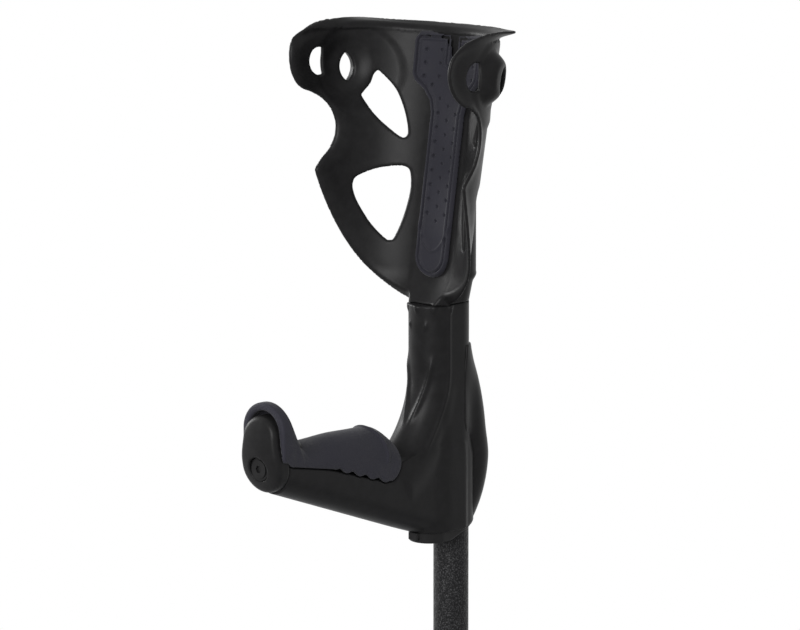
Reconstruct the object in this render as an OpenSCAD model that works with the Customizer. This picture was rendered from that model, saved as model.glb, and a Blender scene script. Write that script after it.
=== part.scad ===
// Open-cuff forearm crutch, millimetres, +Z up.
// Origin: centre of the ferrule's sole on the floor, on the tube axis.
// The handle points to -Y and the forearm cuff opens to -Y.

/* [Heights] */
// floor to the mouth of the handle's tube socket
socket_z = 760; // [700:5:820]
// socket mouth to the seam between neck and cuff
seam_h = 152; // [140:1:165]
// height of the cuff above its seam
cuff_h = 172; // [150:1:190]

/* [Tubes] */
// outer radius of the upper tube
upper_r = 11; // [10:0.25:12.5]
// wall of the upper tube
upper_wall = 1.2; // [1:0.1:2]
// outer radius of the lower tube
lower_r = 9.5; // [8.5:0.25:9.6]
// wall of the lower tube
lower_wall = 1.3; // [1:0.1:2]
// distance between two length settings
leg_pitch = 25; // [20:1:30]
// number of length settings
leg_steps = 10; // [6:1:11]
// setting in which the crutch is drawn, counted from the longest
leg_rest = 4; // [0:1:9]
// radius of the length lock's button
leg_button_r = 3.4; // [3:0.1:4]

/* [Ferrule] */
// radius of the ferrule's sole
sole_r = 19; // [15:0.5:24]
// height of the ferrule
ferrule_h = 52; // [40:1:60]
// wall of the ferrule's sleeve
ferrule_wall = 3.2; // [2.5:0.1:5]

/* [Handle] */
// half width of the neck and of the beam
body_r = 15; // [13:0.5:17]
// distance between the two round sides of the neck
neck_run = 10.4; // [8:0.2:16]
// tube axis to the front face of the end cap
handle_reach = 170; // [150:1:180]
// height of the grip's top above the socket mouth
grip_top = 84; // [75:0.1:95]
// height of the raised front bump above the socket mouth
bump_top = 110.3; // [100:0.1:118]
// half width over the grip pad
grip_r = 16.4; // [15:0.2:19]
// thickness of the grip pad
grip_pad_t = 4; // [3:0.1:5]
// slope of the beam's underside in degrees
beam_slope = 20.4; // [10:0.2:25]

/* [Cuff] */
// inner radius of the cuff's shell at the seam
cuff_r = 54.3; // [50:0.1:65]
// widening of the shell's radius for each millimetre of height
cuff_grow = 0.065; // [0:0.005:0.1]
// distance of the shell's inner wall in front of the tube axis at the seam
cuff_set = 18.8; // [18:0.1:24]
// backward lean of the shell in degrees
cuff_lean = 5.5; // [0:0.1:10]
// wall of the shell
cuff_wall = 3.5; // [2.5:0.1:5]
// radius of the flared rim's bend
rim_bend = 5.5; // [4.5:0.5:10]
// half width of the sleeve over the post
sleeve_r = 14.5; // [13:0.5:16]
// thickness of the cuff pad
cuff_pad_t = 4.2; // [3:0.1:6]
// half width of the cuff pad's shaft
pad_shaft = 13.8; // [10:0.5:16]
// half width of the cuff pad's head
pad_head = 28.5; // [20:0.5:32]
// distance between two cuff heights
cuff_pitch = 10; // [5:1:15]
// number of cuff heights
cuff_steps = 5; // [3:1:5]

/* [Fits] */
// gap between a soft pad and what carries it
pad_gap = 0.3; // [0.2:0.05:0.5]
// radial clearance of a part that slides or is pushed home
slide_gap = 0.05; // [0.02:0.01:0.1]
// gap between two mouldings that meet face to face
seam_gap = 0.3; // [0.1:0.05:0.5]

/* [Hidden] */
$fn = 64;
seam_z = socket_z + seam_h;
upper_in = upper_r - upper_wall;
lower_in = lower_r - lower_wall;
upper_foot = socket_z - 430;
leg_hole_z = upper_foot + 30;
leg_button_z = leg_hole_z + leg_pitch * leg_rest;
lower_top = leg_button_z + 25;
cuff_base = -5;
cuff_zero = 5;
cuff_axis = cuff_r + cuff_set;
// how much wider and taller the wings are than as they were drawn
wing_k = cuff_r / 54.3;
tall_k = cuff_h / 172;
lobe_x = 60.6 * wing_k;
lobe_y = 13.4 * wing_k + cuff_set;
lobe_z = 139.4 * tall_k;
neck_back = -6;
grip_axis = grip_top - grip_r;
core_r = grip_r - grip_pad_t - pad_gap - 0.1;
cap_back = handle_reach - 11.7;
grip_end = cap_back - 0.5;
rear_z = 54.5;
cap_screw_z = 72;
screw_z = [29, 48];
rim_low = cuff_h - 7.2;
post_half = 8;
post_front = -4.5;
post_back = 4.5;
post_wall = 1.5;
post_top = 62;
post_foot = -32;
lock_z = 48;
lock_r = 3;

black = [0.13, 0.13, 0.137];
slate = [0.2, 0.195, 0.23];
steel = [0.6, 0.6, 0.62];
hammered = [0.1, 0.1, 0.105];
silver = [0.72, 0.72, 0.74];

function smooth(t) =
  let (u = min(1, max(0, t)))
  u * u * (3 - 2 * u);

// A flat shape drawn as (Y, Z) and extruded across X to both sides.
module across(half) {
  rotate([90, 0, 90])
    translate([0, 0, -half])
      linear_extrude(2 * half)
        children();
}

// A rod of one radius between two points of the plane X = 0.
module rod(from, to, r) {
  run = to - from;
  len = norm(run);
  translate([0, from[0], from[1]])
    rotate([-atan2(run[0], run[1]), 0, 0])
      cylinder(r = r, h = len);
}

// An upright column with two round sides along Y.
module column(y_back, y_front, r, low, high) {
  translate([0, 0, low])
    linear_extrude(high - low)
      union() {
        translate([0, y_back])
          circle(r = r);
        translate([0, y_front])
          circle(r = r);
        translate([-r, y_front])
          square([2 * r, y_back - y_front]);
      }
}

// The same column with sides that widen from the low end to the high end.
module drafted_column(y_back, y_front, r_low, r_high, low, high) {
  translate([0, 0, low]) {
    translate([0, y_back, 0])
      cylinder(r1 = r_low, r2 = r_high, h = high - low);
    translate([0, y_front, 0])
      cylinder(r1 = r_low, r2 = r_high, h = high - low);
    translate([0, y_back, 0])
      rotate([90, 0, 0])
        linear_extrude(y_back - y_front)
          polygon([
            [-r_low, 0], [r_low, 0],
            [r_high, high - low], [-r_high, high - low]
          ]);
  }
}

// Parts of the cuff.

// Solid of the shell's cone from its axis out to an offset from the inner wall.
module cuff_cone(extra, low, high) {
  translate([0, -cuff_axis, 0])
    rotate([-cuff_lean, 0, 0])
      translate([0, 0, low])
        cylinder(
          r1 = cuff_r + extra + cuff_grow * low,
          r2 = cuff_r + extra + cuff_grow * high,
          h = high - low
        );
}

// Turns a flat drawing of (radius, height) about the shell's leaning axis.
module cuff_turned() {
  translate([0, -cuff_axis, 0])
    rotate([-cuff_lean, 0, 0])
      rotate_extrude()
        children();
}

// Radius of the shell's inner wall at a height along its axis.
function wall_at(t) = cuff_r + cuff_grow * t;

// Outer form of the shell, solid, with the flared lip at its top.
module cuff_outside() {
  r0 = wall_at(rim_low);
  out = rim_bend - cuff_wall;
  cuff_turned()
    polygon(concat(
      [[0, -30], [wall_at(-30) + cuff_wall, -30]],
      [for (a = [0 : 9.5 : 76])
        [r0 + rim_bend - out * cos(a), rim_low + out * sin(a)]],
      [[r0 + rim_bend + 7.6, rim_low + rim_bend + 0.3],
       [r0 + rim_bend + 7.2, rim_low + rim_bend + 2],
       [0, rim_low + rim_bend + 2]]
    ));
}

// Space inside the shell: its sloping foot, its wall and the inside of its lip.
module cuff_inside() {
  r0 = wall_at(rim_low);
  cuff_turned()
    polygon(concat(
      [[0, -12], [40, -12], [wall_at(12), 12]],
      [for (a = [0 : 9.5 : 76])
        [r0 + rim_bend * (1 - cos(a)), rim_low + rim_bend * sin(a)]],
      [[r0 + rim_bend + 6.8, rim_low + rim_bend + 1.8],
       [r0 + rim_bend + 9, rim_low + rim_bend + 2.4],
       [r0 + rim_bend + 9, cuff_h + 50], [0, cuff_h + 50]]
    ));
}

// A flat drawing of a wing, widened and heightened with the shell.
module with_shell(turned) {
  translate([-cuff_set * turned, 0])
    scale([wing_k, tall_k])
      translate([18.8 * turned, 0])
        children();
}

// Side view of a wing, drawn as (Y, Z): free edge, waist, corner and lobe.
module wing_outline() {
  difference() {
    union() {
      intersection() {
        translate([199.4, 147.1])
          circle(r = 267, $fn = 360);
        translate([-63.5, cuff_base])
          square([110, 85]);
      }
      translate([-54, 78])
        square([100, 172]);
      translate([-52.8, 145.5])
        circle(r = 22.3);
    }
    translate([-62, 103])
      circle(r = 21.5);
    polygon([[-46.4, 88.6], [-57.2, 76.5], [-80, 70], [-80, 103], [-62, 103]]);
  }
}

// Side view of the room that the rim leaves: its front end drops to the lobe.
module rim_limit() {
  union() {
    translate([-34, 94.5])
      circle(r = 73, $fn = 180);
    translate([-34, cuff_base])
      square([100, 172.5]);
    translate([-110, cuff_base])
      square([150, 90]);
  }
}

// Smooth closed curve through its corner points.
function curve_at(p, i, t) =
  let (
    n = len(p),
    a = p[(i + n - 1) % n],
    b = p[i],
    c = p[(i + 1) % n],
    d = p[(i + 2) % n]
  )
  0.5 * (2 * b + (c - a) * t + (2 * a - 5 * b + 4 * c - d) * t * t
    + (3 * b - a - 3 * c + d) * t * t * t);
function curve(p, steps) = [
  for (i = [0 : len(p) - 1])
    for (k = [0 : steps - 1])
      curve_at(p, i, k / steps)
];

// Upper window of a wing as it is seen square to the wing.
module upper_window() {
  polygon(curve([
    [-49.4, 133], [-47.2, 135.9], [-44.4, 135.2], [-35.2, 122.8],
    [-29.9, 110.5], [-27.5, 99], [-28.4, 94.2], [-32.5, 94],
    [-46.6, 105.3], [-56, 117.6], [-55.8, 121], [-51.6, 126.5]
  ], 4));
}

// Lower window of a wing as it is seen square to the wing.
module lower_window() {
  polygon(curve([
    [-61.2, 67], [-58.4, 70.6], [-46.5, 74.8], [-34, 76.6],
    [-26.6, 75.8], [-24.6, 71.5], [-24.8, 61], [-29, 45],
    [-34.6, 32.4], [-37.6, 30.2], [-41, 31.6], [-50, 41],
    [-58, 53.5], [-61.3, 62]
  ], 4));
}

// A flat shape cut through one wing, square to the wing.
module through_wing(turn) {
  rotate([0, 0, turn])
    rotate([90, 0, 0])
      translate([0, 0, -80])
        linear_extrude(140)
          children();
}

// Front hole of a lobe: round, with a straight side at the bar.
module lobe_front_hole() {
  intersection() {
    translate([-50.6, 142.6])
      circle(r = 9.2);
    translate([-70, 120])
      square([22.6, 40]);
  }
}

// Rear hole of a lobe: the space that two equal circles share.
module lobe_rear_hole() {
  intersection() {
    translate([-5.8, 0])
      circle(r = 11);
    translate([5.8, 0])
      circle(r = 11);
  }
}

// Rounded boss about the rear hole of a lobe, standing proud of the shell.
module lobe_boss() {
  translate([-lobe_x, -lobe_y, lobe_z])
    rotate([0, 0, 65])
      rotate([90, 0, 0])
        rotate_extrude()
          polygon([
            [0, -7.2], [6, -6.9], [11, -5.4], [14.4, -2.9],
            [16.6, 0.2], [17.4, 2.8], [0, 2.8]
          ]);
}

module wing_cuts() {
  through_wing(42)
    with_shell(sin(42))
      upper_window();
  through_wing(42)
    with_shell(sin(42))
      lower_window();
  translate([-lobe_x, -lobe_y, lobe_z])
    rotate([0, 0, 65])
      rotate([90, 0, 0])
        translate([0, 0, -12])
          linear_extrude(24)
            lobe_rear_hole();
}

module cuff() {
  color(black)
    translate([0, 0, seam_z + cuff_zero])
      difference() {
        union() {
          intersection() {
            union() {
              cuff_outside();
              lobe_boss();
              mirror([1, 0, 0])
                lobe_boss();
            }
            across(95 * wing_k)
              with_shell(1)
                intersection() {
                  wing_outline();
                  rim_limit();
                }
          }
          drafted_column(-1.5, -19.5, 12, 15.2, cuff_base, 10);
          intersection() {
            column(1.3, -16.3, sleeve_r, 9, 108);
            across(40)
              polygon([
                [-40, 0], [16, 0], [16, 60],
                [12, 76], [3, 108], [-40, 108]
              ]);
          }
        }
        cuff_inside();
        wing_cuts();
        mirror([1, 0, 0])
          wing_cuts();
        across(90 * wing_k)
          with_shell(1)
            lobe_front_hole();
        // pocket for the post
        translate([-post_half - slide_gap, post_front - slide_gap, cuff_base - 1])
          cube([
            2 * (post_half + slide_gap),
            post_back - post_front + 2 * slide_gap,
            post_top + 2 - cuff_base + 1
          ]);
        // flat channel on the back, where the lock's holes are
        translate([-5.5, post_back + 3.2, 2])
          cube([11, 14, 52]);
        for (i = [0 : cuff_steps - 1])
          translate([0, post_back - 1, lock_z - cuff_pitch * i])
            rotate([-90, 0, 0])
              cylinder(r = lock_r + 0.15, h = 20);
      }
}

module cuff_pad() {
  color(slate)
    translate([0, 0, seam_z + cuff_zero])
      intersection() {
        difference() {
          cuff_cone(-pad_gap, 8, cuff_h);
          cuff_cone(-pad_gap - cuff_pad_t, 0, cuff_h + 5);
        }
        translate([0, 30, 0])
          rotate([90, 0, 0])
            linear_extrude(70)
              union() {
                translate([0, 24])
                  circle(r = pad_shaft);
                translate([-pad_shaft, 24])
                  square([2 * pad_shaft, 100 * tall_k]);
                scale([1, tall_k])
                  polygon([
                    [-pad_shaft, 112], [pad_shaft, 112],
                    [pad_head - 9, 123], [pad_head - 1, 129],
                    [pad_head, 140], [pad_head, 157],
                    [pad_head - 4, 161], [4 - pad_head, 161],
                    [-pad_head, 157], [-pad_head, 140],
                    [1 - pad_head, 129], [9 - pad_head, 123]
                  ]);
              }
      }
}

module cuff_post() {
  color(steel)
    translate([0, 0, seam_z + cuff_zero])
      difference() {
        translate([-post_half, post_front, post_foot])
          cube([2 * post_half, post_back - post_front, post_top - post_foot]);
        translate([-post_half + post_wall, post_front + post_wall, post_foot - 1])
          cube([
            2 * (post_half - post_wall),
            post_back - post_front - 2 * post_wall,
            post_top - post_foot + 2
          ]);
        translate([0, post_back - 3, lock_z])
          rotate([-90, 0, 0])
            cylinder(r = lock_r + slide_gap, h = 6);
        translate([-20, (post_front + post_back) / 2, post_foot + 14])
          rotate([0, 90, 0])
            cylinder(r = 2 + slide_gap, h = 40);
      }
}

module post_pin() {
  color(steel)
    translate([-12, (post_front + post_back) / 2, seam_z + cuff_zero + post_foot + 14])
      rotate([0, 90, 0])
        cylinder(r = 2, h = 24);
}

// A button with a domed head and a foot flange, along +Y from its flange.
module lock_button(r, reach) {
  rotate([-90, 0, 0])
    union() {
      cylinder(r = r, h = reach - 1);
      translate([0, 0, reach - 1])
        cylinder(r1 = r, r2 = r - 0.8, h = 1);
      translate([0, 0, -1])
        cylinder(r = r + 0.6, h = 1);
    }
}

module cuff_lock_button() {
  color(steel)
    translate([0, post_back - post_wall - 0.1, seam_z + cuff_zero + lock_z])
      lock_button(lock_r, 5.6);
}

// A bowed leaf spring: a strip with a round back, open upwards.
module leaf_spring(width, depth, height, thick) {
  r = depth / 2;
  rotate([90, 0, 90])
    translate([0, 0, -width / 2])
      linear_extrude(width)
        union() {
          difference() {
            circle(r = r);
            circle(r = r - thick);
            translate([-2 * r, 0])
              square([4 * r, 2 * r]);
          }
          translate([-r, 0])
            square([thick, height]);
          translate([r - thick, 0])
            square([thick, height]);
        }
}

module cuff_lock_spring() {
  color(steel)
    translate([0, -0.55, seam_z + cuff_zero + lock_z - 20])
      leaf_spring(8, 4.8, 26, 0.5);
}

// Parts of the handle.

// Ring segment of a round bar in the plane X = 0.
module bent_bar(centre, radius, r, from, to) {
  translate([0, centre[0], centre[1]])
    rotate([0, -90, 0])
      rotate([0, 0, from])
        rotate_extrude(angle = to - from)
          translate([radius, 0])
            circle(r = r);
}

// Side view of the beam up to the grip pad's lower edge.
module beam_outline() {
  polygon([
    [-6, 11.6], [-40, 11.6], [5 - handle_reach, 51.2],
    [5 - handle_reach, 79], [18 - handle_reach, 75.5], [-73.5, 50.8],
    [-70, 51.4], [-67, 53.6], [-62, 60], [-50, 62], [-6, 62]
  ]);
}

// The beam: flat sides and a round underside, drawn along its slope.
module beam() {
  half = body_r - 0.1;
  intersection() {
    translate([0, -16, 19.2])
      rotate([90 - beam_slope, 0, 0])
        translate([0, 0, -30])
          linear_extrude(200)
            union() {
              circle(r = half);
              translate([-half, 0])
                square([2 * half, 50]);
            }
    across(body_r + 1)
      beam_outline();
  }
}

// Core that carries the grip pad, with a rib along it.
module grip_core() {
  rod([-84, grip_axis], [-cap_back, grip_axis], core_r);
  rod([-86, grip_axis + 0.6], [-58, 53.6], core_r - 0.4);
  rod([24 - handle_reach, 77], [-cap_back, 77], core_r - 0.8);
  rod([17 - handle_reach, 88.4], [-cap_back, 88.4], core_r - 1.2);
  across(core_r - 1.6)
    polygon([
      [-60, 50], [-cap_back, 60], [-cap_back, 88],
      [17 - handle_reach, 88], [17 - handle_reach, 76],
      [24 - handle_reach, 70], [-60, 57]
    ]);
}

module body_solid() {
  // neck and socket
  column(neck_back, neck_back - neck_run, body_r, 11.6, seam_h - seam_gap);
  column(0, -16.2, 13.8, 11.6, 66);
  // elbow between the neck and the grip
  bent_bar([-91.4, 112], 75, body_r - 0.05, 90, 150);
  beam();
  grip_core();
  // back of the body under the rear cover
  intersection() {
    rear_bow(10.4);
    across(20)
      rear_limit(0.3);
  }
}

// Bowed bar behind the tube: long and flat above, rounder below.
module rear_bow(r) {
  bent_bar([-124.3, rear_z], 139, r, 50, 90);
  bent_bar([-42, rear_z], 56.7, r - 0.2, 87, 150);
}

// Side view of the space behind the tube that the rear bulge fills.
module rear_limit(inset) {
  polygon([
    [-4, 13], [15, 13], [29 - inset, 34 + inset],
    [45, 50], [45, 118 - inset], [-4, 118 - inset]
  ]);
}

module handle_body() {
  color(black)
    translate([0, 0, socket_z])
      difference() {
        intersection() {
          body_solid();
          translate([-60, -(cap_back - seam_gap), 0])
            cube([120, 260, seam_h + 48]);
        }
        // socket for the tube
        translate([0, 0, -1])
          cylinder(r = upper_r + slide_gap, h = 64);
        // pocket for the post
        translate([
          -post_half - slide_gap, post_front - slide_gap,
          seam_h + cuff_zero + post_foot - 0.5
        ])
          cube([
            2 * (post_half + slide_gap),
            post_back - post_front + 2 * slide_gap, 60
          ]);
        translate([-12.2, (post_front + post_back) / 2, seam_h + cuff_zero + post_foot + 14])
          rotate([0, 90, 0])
            cylinder(r = 2 + slide_gap, h = 24.4);
        // weight-saving bore in the neck
        translate([0, -17, 68])
          cylinder(r = 7, h = 50);
        // hollow of the beam, open under the end cap
        rod(
          [-84, 44.5],
          [-handle_reach, cap_screw_z + 12 * tan(beam_slope)], 7.5
        );
        // holes for the tube's screws
        for (z = screw_z) {
          translate([0, 14.3, z])
            rotate([-90, 0, 0])
              cylinder(r = 4.2, h = 30);
          translate([0, 5, z])
            rotate([-90, 0, 0])
              cylinder(r = 1.9 + slide_gap, h = 20);
        }
      }
}

// Upright stadium drawn as (X, Z).
module cap_face(r, low, high) {
  union() {
    translate([0, low + r])
      circle(r = r);
    translate([0, high - r])
      circle(r = r);
    translate([-r, low + r])
      square([2 * r, high - low - 2 * r]);
  }
}

module end_cap() {
  color(black)
    translate([0, 0, socket_z])
      difference() {
        union() {
          intersection() {
            translate([0, -cap_back, 0])
              rotate([90, 0, 0])
                linear_extrude(20)
                  cap_face(body_r + 0.3, 57, 108.4);
            translate([0, 62 - handle_reach, 84])
              sphere(r = 62, $fn = 128);
          }
          // spigot in the beam's hollow
          translate([0, -cap_back - 1, cap_screw_z])
            rotate([-90, 0, 0])
              cylinder(r = 3.6, h = 10);
        }
        // recess for the plug and hole for the screw
        translate([0, -handle_reach + 3.7, cap_screw_z])
          rotate([90, 0, 0])
            cylinder(r = 7.2, h = 20);
        translate([0, -cap_back + 20, cap_screw_z])
          rotate([90, 0, 0])
            cylinder(r = 2 + slide_gap, h = 60);
      }
}

module end_cap_plug() {
  color(black)
    translate([0, -handle_reach + 3.6, socket_z + cap_screw_z])
      rotate([90, 0, 0])
        difference() {
          union() {
            cylinder(r = 7, h = 1.6);
            cylinder(r = 5.6, h = 2.4);
          }
          translate([0, 0, 1.2])
            cylinder(r = 2.4, h = 3, $fn = 6);
        }
}

module end_cap_screw() {
  color(steel)
    translate([0, -handle_reach + 3.8, socket_z + cap_screw_z])
      rotate([-90, 0, 0])
        cylinder(r = 2, h = 16);
}

module rear_cover() {
  color(black)
    translate([0, 0, socket_z])
      difference() {
        intersection() {
          rear_bow(13);
          across(20)
            polygon([
              [7.5, 13], [16.4, 13], [31, 34],
              [45, 49], [45, 121.5], [7.5, 121.5]
            ]);
        }
        rear_bow(10.7);
        translate([0, 0, 5])
          cylinder(r = 14.2, h = 65);
        column(neck_back, neck_back - neck_run, body_r + 0.2, 9, 150);
      }
}

module tube_screws() {
  color(steel)
    translate([0, 0, socket_z])
      for (z = screw_z)
        translate([0, 7.7, z])
          rotate([-90, 0, 0])
            union() {
              cylinder(r = 1.9, h = 8);
              translate([0, 0, 6.7])
                cylinder(r = 3.8, h = 2.6);
            }
}

module socket_ring() {
  color(black)
    translate([0, 0, socket_z])
      difference() {
        union() {
          column(0, -14.5, 14, 3, 11.3);
          translate([-3.5, -31, 7])
            cube([7, 4, 3]);
          translate([-3.5, -32.5, 5.2])
            cube([7, 2.4, 4.8]);
        }
        translate([0, 0, -1])
          cylinder(r = upper_r + slide_gap, h = 20);
        translate([0, -14, 3])
          rotate([19, 0, 0])
            translate([-40, 0, -40])
              cube([80, 80, 40]);
      }
}

// Loop of points round the grip pad's section at one place along the handle.
function pad_top(y) =
  grip_top - 13 * smooth((y + 78) / 25)
  + (bump_top - grip_top) * smooth((33.5 - handle_reach - y) / 20);
function pad_low(y) =
  y > -70
  ? 52.5 + 12 * smooth((y + 70) / 10)
  : 52.5 + 0.312 * (-70 - y) + 0.9 * cos(360 * (-70 - y) / 20)
    + 17 * smooth((21 - handle_reach - y) / 9);
function arch(y, inset) =
  let (
    w = grip_r - inset,
    top = pad_top(y) - inset,
    low = pad_low(y),
    mid = max(top - w, low + 0.5)
  )
  concat(
    [[w, y, low]],
    [for (t = [0 : 10 : 180]) [w * cos(t), y, mid + (top - mid) * sin(t)]],
    [[-w, y, low]]
  );

module grip_pad() {
  ys = [for (i = [0 : 48]) -60.5 - (grip_end - 60.5) * i / 48];
  n = 21;
  rings = [for (y = ys) concat(arch(y, 0), [for (i = [n - 1 : -1 : 0]) arch(y, grip_pad_t)[i]])];
  m = 2 * n;
  pts = [for (ring = rings) for (p = ring) p];
  last = len(ys) - 1;
  color(slate)
    translate([0, 0, socket_z])
      polyhedron(
        points = pts,
        faces = concat(
          [for (k = [0 : last - 1]) for (i = [0 : m - 1])
            let (j = (i + 1) % m)
            [k * m + i, k * m + j, (k + 1) * m + j]],
          [for (k = [0 : last - 1]) for (i = [0 : m - 1])
            let (j = (i + 1) % m)
            [k * m + i, (k + 1) * m + j, (k + 1) * m + i]],
          [for (i = [0 : n - 2]) [m - 1 - i, m - 2 - i, i + 1]],
          [for (i = [0 : n - 2]) [m - 1 - i, i + 1, i]],
          [for (i = [0 : n - 2])
            [last * m + m - 1 - i, last * m + i + 1, last * m + m - 2 - i]],
          [for (i = [0 : n - 2])
            [last * m + m - 1 - i, last * m + i, last * m + i + 1]]
        )
      );
}

// Tubes and what is on them.

module upper_tube() {
  color(hammered)
    difference() {
      translate([0, 0, upper_foot])
        cylinder(r = upper_r, h = socket_z + 62 - upper_foot);
      translate([0, 0, upper_foot - 1])
        cylinder(r = upper_in, h = socket_z + 70 - upper_foot);
      for (i = [0 : leg_steps - 1])
        translate([0, 0, leg_hole_z + leg_pitch * i])
          rotate([-90, 0, 0])
            cylinder(r = leg_button_r + slide_gap, h = 20);
      for (z = screw_z)
        translate([0, 5, socket_z + z])
          rotate([-90, 0, 0])
            cylinder(r = 1.9 + slide_gap, h = 20);
    }
}

module quiet_collar() {
  color(black)
    translate([0, 0, upper_foot - 10])
      difference() {
        union() {
          cylinder(r = 13.6, h = 24);
          translate([0, 0, 3])
            cylinder(r = 14.2, h = 3);
          translate([0, 0, 9])
            cylinder(r = 14.2, h = 3);
          translate([0, 0, 15])
            cylinder(r = 14.2, h = 3);
        }
        translate([0, 0, -1])
          cylinder(r = lower_r + slide_gap, h = 20);
        translate([0, 0, 9.9])
          cylinder(r = upper_r + slide_gap, h = 20);
      }
}

module lower_tube() {
  color(silver)
    difference() {
      translate([0, 0, 10.2])
        cylinder(r = lower_r, h = lower_top - 10.2);
      translate([0, 0, 0])
        cylinder(r = lower_in, h = lower_top + 10);
      translate([0, 0, leg_button_z])
        rotate([-90, 0, 0])
          cylinder(r = leg_button_r + slide_gap, h = 20);
    }
}

module lower_tube_guide() {
  color(black)
    translate([0, 0, lower_top])
      difference() {
        union() {
          translate([0, 0, -9])
            cylinder(r = lower_in - slide_gap, h = 10);
          translate([0, 0, 0.1])
            cylinder(r = upper_in - slide_gap, h = 6);
        }
        translate([0, 0, -10])
          cylinder(r = 4, h = 20);
      }
}

module leg_lock_button() {
  color(steel)
    translate([0, lower_in - 1.15, leg_button_z])
      lock_button(leg_button_r, upper_r + 3.15 - lower_in);
}

module leg_lock_spring() {
  color(steel)
    translate([0, -0.6, leg_button_z - 38])
      leaf_spring(6, 13.2, 46, 0.8);
}

module lower_end_plug() {
  color(black)
    translate([0, 0, 10.3])
      cylinder(r = lower_in - slide_gap, h = 12);
}

// The foot.

module ferrule() {
  outer = lower_r + slide_gap + ferrule_wall;
  color([0.11, 0.11, 0.115])
    difference() {
      rotate_extrude()
        polygon([
          [0, 0], [5.5, 0], [5.5, 1.6], [7.5, 1.6], [7.5, 0],
          [sole_r - 7.5, 0], [sole_r - 7.5, 1.6],
          [sole_r - 5.5, 1.6], [sole_r - 5.5, 0],
          [sole_r - 1, 0], [sole_r, 1], [sole_r, 5.5],
          [sole_r - 2.4, 9], [sole_r - 2.4, 11],
          [sole_r - 1.6, 11.6], [sole_r - 1.6, 14],
          [sole_r - 3.6, 16], [sole_r - 3.6, 18],
          [sole_r - 2.8, 18.6], [sole_r - 2.8, 21],
          [outer + 0.6, 24], [outer, 30],
          [outer, ferrule_h - 4], [outer + 1.2, ferrule_h - 3],
          [outer + 1.2, ferrule_h - 1], [outer + 0.4, ferrule_h],
          [0, ferrule_h]
        ]);
      translate([0, 0, 10.1])
        cylinder(r = lower_r + slide_gap, h = ferrule_h);
      translate([0, 0, 7.95])
        cylinder(r = 9.05, h = 3);
    }
}

module ferrule_washer() {
  color(steel)
    translate([0, 0, 8])
      difference() {
        cylinder(r = 9, h = 2);
        translate([0, 0, -1])
          cylinder(r = 3, h = 4);
      }
}

cuff();
cuff_pad();
cuff_lock_button();
cuff_lock_spring();
cuff_post();
post_pin();
handle_body();
grip_pad();
end_cap();
end_cap_plug();
end_cap_screw();
rear_cover();
tube_screws();
socket_ring();
upper_tube();
quiet_collar();
lower_tube();
lower_tube_guide();
leg_lock_button();
leg_lock_spring();
lower_end_plug();
ferrule();
ferrule_washer();
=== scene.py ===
import bpy
import math
import numpy as np
from mathutils import Matrix, Vector


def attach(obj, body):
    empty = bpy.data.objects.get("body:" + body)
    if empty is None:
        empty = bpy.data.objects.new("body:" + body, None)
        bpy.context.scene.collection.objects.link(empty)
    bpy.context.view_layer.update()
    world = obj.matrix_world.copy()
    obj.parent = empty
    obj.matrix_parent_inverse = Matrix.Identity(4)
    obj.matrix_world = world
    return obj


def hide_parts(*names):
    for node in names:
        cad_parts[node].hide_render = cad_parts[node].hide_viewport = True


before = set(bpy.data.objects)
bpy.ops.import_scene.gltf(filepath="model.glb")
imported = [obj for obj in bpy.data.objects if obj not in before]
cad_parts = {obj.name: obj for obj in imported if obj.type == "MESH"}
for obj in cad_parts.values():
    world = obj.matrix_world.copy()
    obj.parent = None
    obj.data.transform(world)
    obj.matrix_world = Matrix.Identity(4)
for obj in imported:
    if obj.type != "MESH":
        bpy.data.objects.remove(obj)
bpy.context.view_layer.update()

# The camera, as the photograph was taken: about 2.3 m away, in front and to the
# right of the handle, a little above the cuff, looking down at about nine degrees.
camera = bpy.data.objects.new("camera", bpy.data.cameras.new("camera"))
bpy.context.scene.collection.objects.link(camera)
bpy.context.scene.camera = camera
eye = (1.51934, -1.68046, 1.31393)
turn, tilt, roll = 0.732648, 0.162832, 0.00128
back = Vector((math.sin(turn) * math.cos(tilt), -math.cos(turn) * math.cos(tilt), math.sin(tilt)))
right = Vector((math.cos(turn), math.sin(turn), 0))
up = back.cross(right)
right, up = (
    right * math.cos(roll) + up * math.sin(roll),
    up * math.cos(roll) - right * math.sin(roll),
)
camera.matrix_world = Matrix.Translation(eye) @ Matrix((right, up, back)).transposed().to_4x4()
camera.data.sensor_width = 36
picture_width, lens_in_pixels = 800, 3724.08
camera.data.lens = camera.data.sensor_width * lens_in_pixels / picture_width
camera.data.shift_x = -0.0752
camera.data.shift_y = -0.08
camera.data.clip_end = 60


# The upper tube: a drawn 22 mm aluminium tube in a black hammered lacquer, whose
# dimples are about 3 mm across; the grey flecks where its high spots catch the light are painted glints in its
# colour.
# It is pushed into the handle's socket from below and screwed there.
def node_group(name, inputs, outputs):
    """A shader group with named sockets; returns it with its input and output nodes."""
    group = bpy.data.node_groups.new(name, "ShaderNodeTree")
    for kind, label, value in inputs:
        socket = group.interface.new_socket(label, in_out="INPUT", socket_type=kind)
        if value is not None:
            socket.default_value = value
    for kind, label in outputs:
        group.interface.new_socket(label, in_out="OUTPUT", socket_type=kind)
    return group, group.nodes.new("NodeGroupInput"), group.nodes.new("NodeGroupOutput")


def wire(tree, *pairs):
    """Joins sockets: each pair is (from socket, to socket)."""
    for a, b in pairs:
        tree.links.new(a, b)


def noise(tree, scale, detail=2.0, rough=0.5, vector=None):
    """A noise texture of so many grains to the metre."""
    n = tree.nodes.new("ShaderNodeTexNoise")
    n.inputs["Scale"].default_value = scale
    n.inputs["Detail"].default_value = detail
    n.inputs["Roughness"].default_value = rough
    if vector is not None:
        tree.links.new(vector, n.inputs["Vector"])
    return n


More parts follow.
